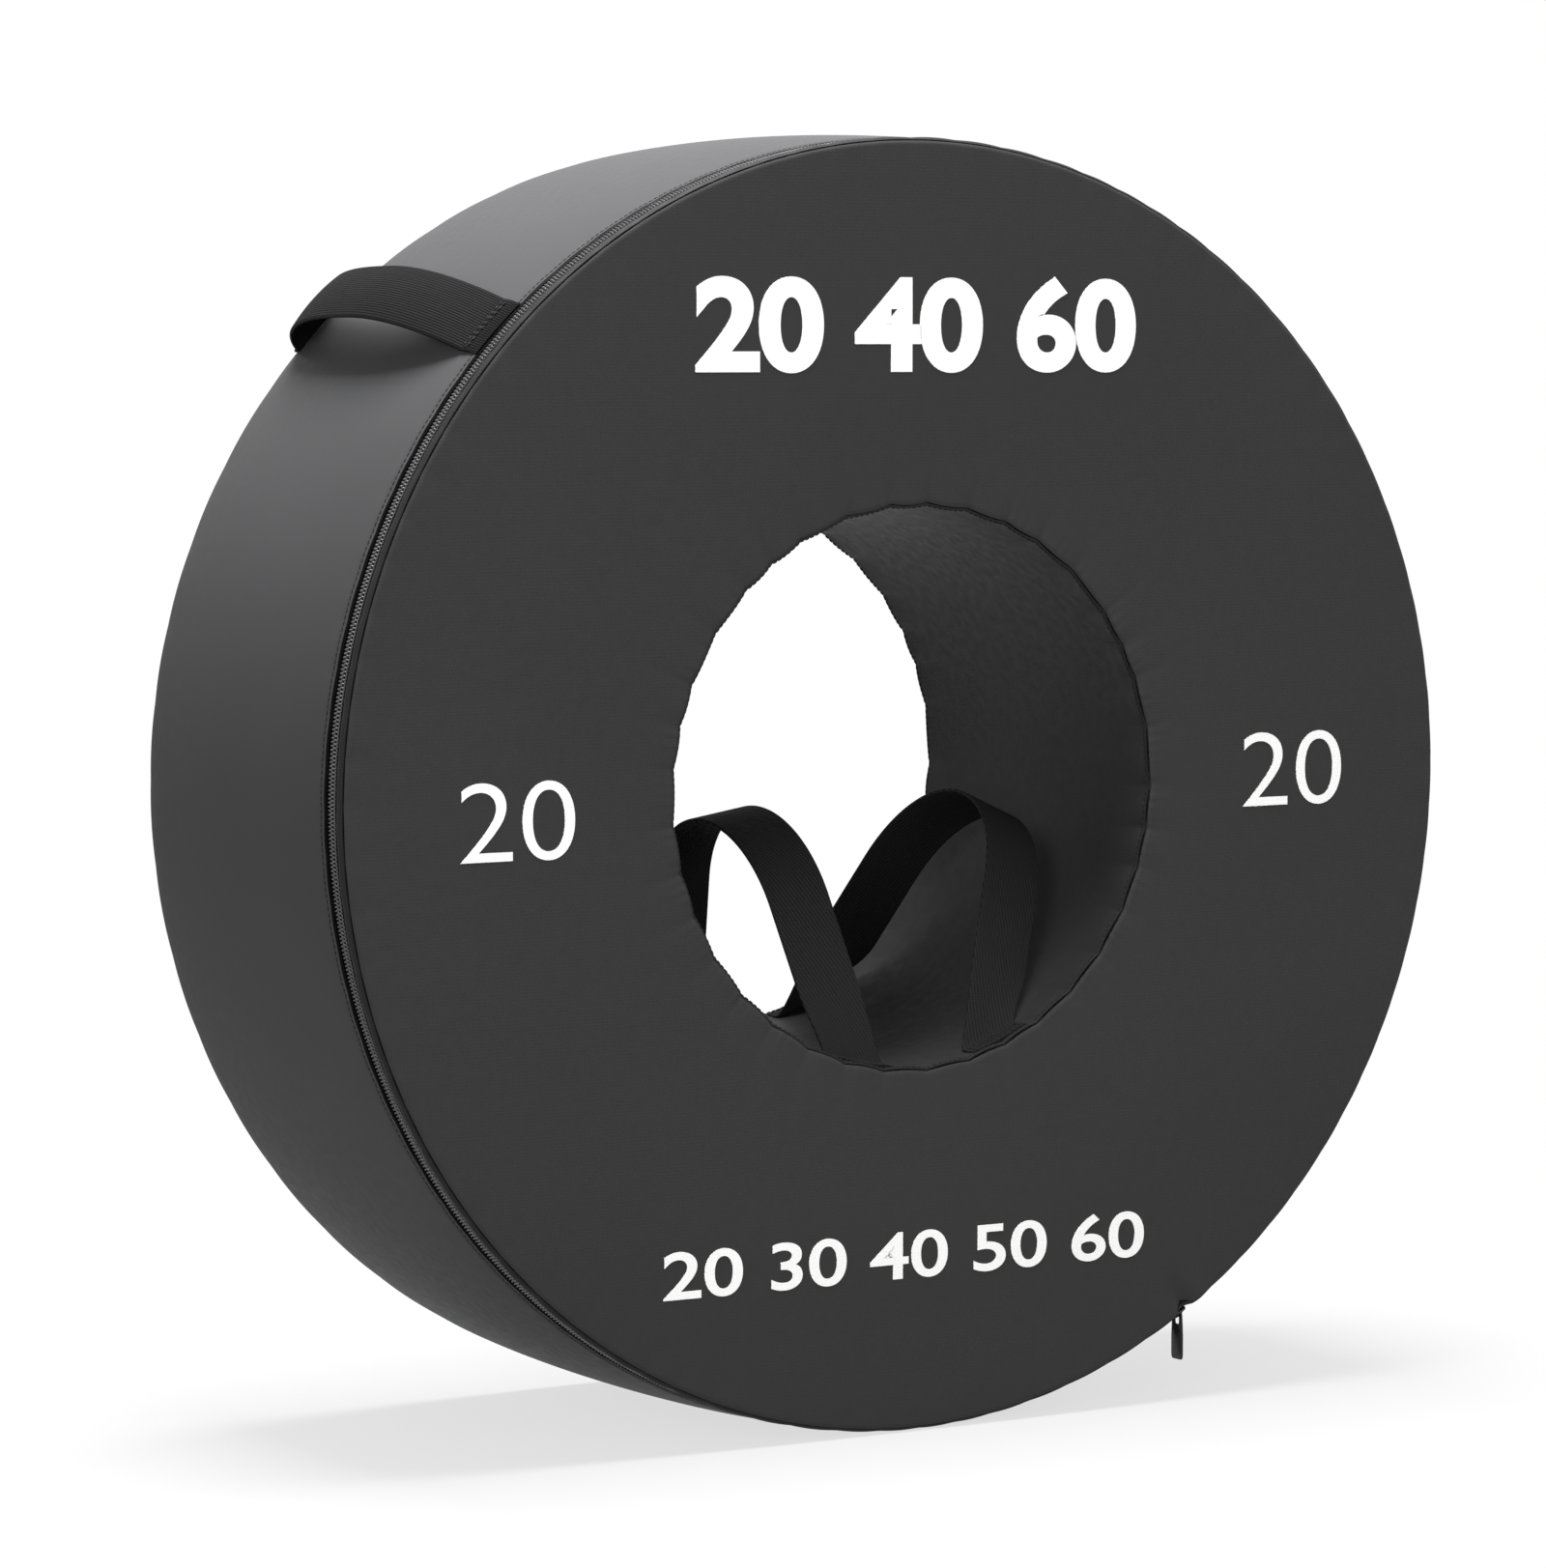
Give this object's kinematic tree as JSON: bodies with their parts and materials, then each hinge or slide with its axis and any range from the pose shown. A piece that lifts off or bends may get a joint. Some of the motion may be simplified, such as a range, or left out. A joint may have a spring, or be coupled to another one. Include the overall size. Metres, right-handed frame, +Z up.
{
  "type": "tackling wheel",
  "caption": "Upright foam tackling wheel in a zipped fabric cover, with a round bore, arched carry handles on the rim and elastic straps in the bore that hold a ball.",
  "frame": {"origin": "centre of the wheel, on its axis, midway between the two faces", "axes": "+Y along the wheel's axis, from the front face to the back face; +Z up; the wheel rolls about Y"},
  "size_m": [0.7112, 0.229, 0.7098],
  "materials": {
    "foam": "matte",
    "face_fabric": "satin",
    "rim_fabric": "satin",
    "lining_fabric": "satin",
    "zipper_tape": "matte",
    "zipper_coil": "satin",
    "zipper_metal": "satin",
    "webbing": "matte",
    "elastic": "matte",
    "thread": "satin"
  },
  "bodies": {
    "wheel": {"foam_core_front": "foam", "foam_core_middle": "foam", "foam_core_back": "foam", "front_panel": "face_fabric", "back_panel": "face_fabric", "rim_panel": "rim_fabric", "front_edge_strip": "rim_fabric", "zipper_end_cover": "rim_fabric", "bore_lining": "lining_fabric", "zipper_tape_front": "zipper_tape", "zipper_tape_rear": "zipper_tape", "zipper_coil_front": "zipper_coil", "zipper_coil_rear": "zipper_coil", "zipper_stop_start": "zipper_metal", "zipper_stop_end": "zipper_metal", "carry_handle_left": "webbing", "carry_handle_right": "webbing", "ball_strap_left": "elastic", "ball_strap_right": "elastic", "rim_topstitch": "thread", "bore_stitch_front": "thread", "bore_stitch_back": "thread", "handle_stitch_left_front": "thread", "handle_stitch_left_back": "thread", "handle_stitch_right_front": "thread", "handle_stitch_right_back": "thread", "strap_stitch_left_front": "thread", "strap_stitch_left_back": "thread", "strap_stitch_right_front": "thread", "strap_stitch_right_back": "thread"},
    "slider": {"zip_slider": "zipper_metal"},
    "pull": {"zip_pull": "zipper_metal"}
  },
  "joints": [
    {"name": "zip_slider_travel", "type": "hinge", "parent": "wheel", "child": "slider", "pos_m": [0, -0.1016, 0], "axis": [0, 1, 0], "range_deg": [0, 330]},
    {"name": "zip_pull_swing", "type": "hinge", "parent": "slider", "child": "pull", "pos_m": [0.18397, -0.1016, -0.30618], "axis": [0, 1, 0], "range_deg": [-117, 55]}
  ]
}
